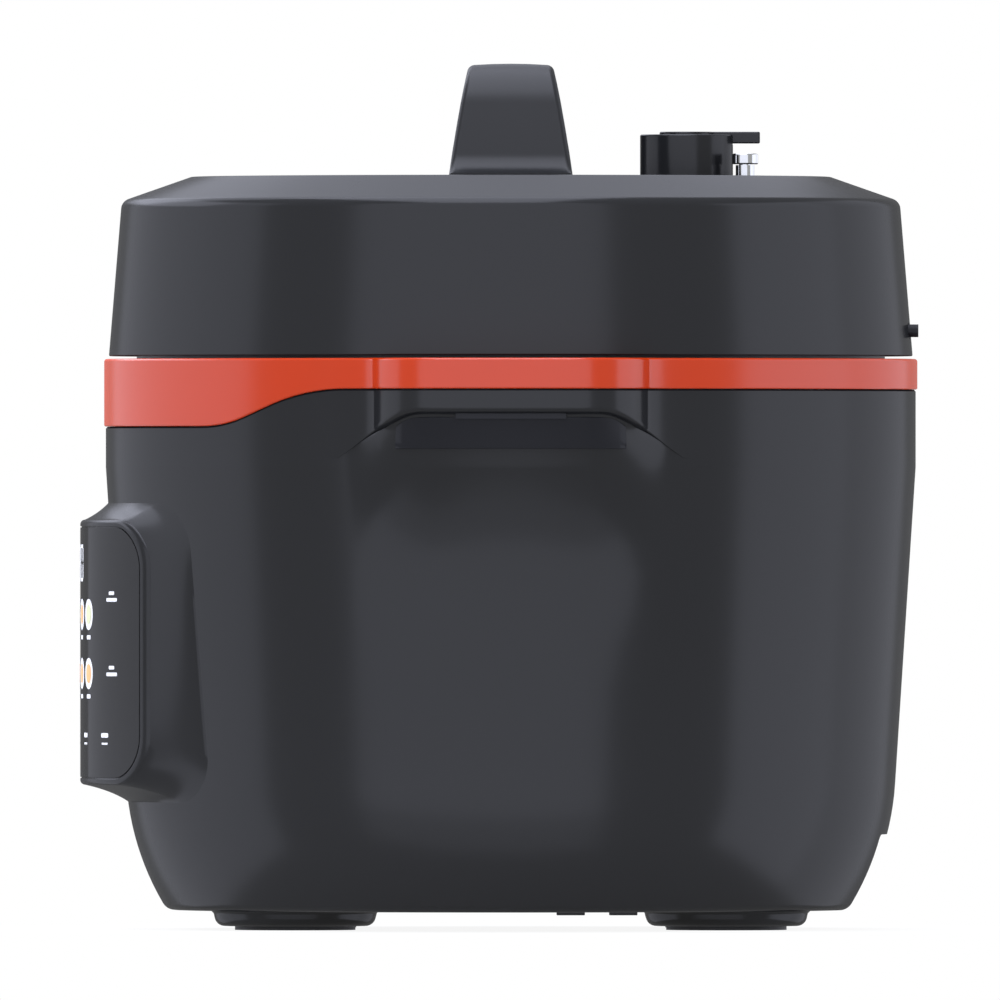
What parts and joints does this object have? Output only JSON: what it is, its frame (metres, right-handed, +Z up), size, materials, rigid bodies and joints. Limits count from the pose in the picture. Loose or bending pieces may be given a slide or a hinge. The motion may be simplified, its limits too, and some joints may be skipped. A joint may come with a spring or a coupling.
{
  "type": "electric pressure cooker",
  "caption": "Round electric pressure cooker with a turn-lock lid, arched lid handle, steam valve, float, side grips, curved touch panel, lift-out pot and rear mains inlet.",
  "frame": {"origin": "middle of the footprint's bounding box, on the surface the cooker stands on", "axes": "+Z up; the control panel faces -Y; +X is to the right of a user who faces the panel, the side that the picture shows"},
  "size_m": [0.328, 0.3014, 0.3107],
  "materials": {
    "charcoal_plastic": "fine satin moulding",
    "orange_plastic": "satin moulding",
    "black_plastic": "satin moulding",
    "panel_glass": "glossy touch panel",
    "steel": "brushed",
    "chrome": "polished",
    "aluminium": "cast and turned",
    "silicone": "translucent grey silicone",
    "rubber": "matte rubber",
    "circuit_board": "coated laminate",
    "brass": "plated"
  },
  "bodies": {
    "base": {"outer_housing": "charcoal_plastic", "power_recess": "charcoal_plastic", "grip_collar": "charcoal_plastic", "trim_band": "orange_plastic", "handle_insert_right": "black_plastic", "handle_insert_left": "black_plastic", "control_pod": "charcoal_plastic", "control_glass": "panel_glass", "display_board": "circuit_board", "display_module": "black_plastic", "base_plate": "charcoal_plastic", "foot_pads": "rubber", "base_screws": "steel", "power_inlet": "black_plastic", "inlet_pins": "brass", "outer_pot": "steel", "heating_plate": "aluminium", "heating_element": "steel", "sensor_holder": "black_plastic", "sensor_spring": "steel", "power_board": "circuit_board", "board_screws": "steel", "board_components": "black_plastic", "pressure_switch": "black_plastic", "thermal_fuse": "brass", "locking_ring": "steel"},
    "pot": {"inner_pot": "steel"},
    "seal": {"sealing_ring": "silicone"},
    "lid": {"lid_plate": "steel", "lid_cover": "charcoal_plastic", "lid_studs": "steel", "lid_handle": "charcoal_plastic", "handle_liner": "black_plastic", "handle_screws": "steel", "steam_collar": "charcoal_plastic", "vent_pipe": "steel", "vent_nut": "steel", "anti_block_cap": "steel", "float_sleeve": "chrome", "lock_guide": "black_plastic", "lock_spring": "steel", "seal_rack": "steel"},
    "steam_valve": {"steam_weight": "steel", "steam_lever": "charcoal_plastic"},
    "float": {"float_pin": "chrome", "float_seal": "silicone"},
    "lock": {"lock_pin": "black_plastic"},
    "sensor": {"temperature_sensor": "aluminium"}
  },
  "joints": [
    {"name": "pot_lift", "type": "slide", "parent": "base", "child": "pot", "axis": [0, 0, 1], "range_m": [0, 0.17]},
    {"name": "lid_lift", "type": "slide", "parent": "pot", "child": "seal", "axis": [0, 0, 1], "range_m": [0, 0.15]},
    {"name": "lid_turn", "type": "hinge", "parent": "seal", "child": "lid", "pos_m": [0, 0.00428, 0.2089], "axis": [0, 0, -1], "range_deg": [0, 30]},
    {"name": "steam_turn", "type": "hinge", "parent": "lid", "child": "steam_valve", "pos_m": [0, 0.06748, 0.2826], "axis": [0, 0, 1], "range_deg": [0, 40]},
    {"name": "float_rise", "type": "slide", "parent": "lid", "child": "float", "axis": [0, 0, 1], "range_m": [0, 0.004]},
    {"name": "lock_press", "type": "slide", "parent": "lid", "child": "lock", "axis": [0, -1, 0], "range_m": [0, 0.0025], "stiffness_N_per_m": 300, "springref_m": -0.003, "deforming": ["lock_spring"]},
    {"name": "sensor_press", "type": "slide", "parent": "base", "child": "sensor", "axis": [0, 0, -1], "range_m": [0, 0.002], "stiffness_N_per_m": 800, "springref_m": -0.002, "deforming": ["sensor_spring"]}
  ]
}
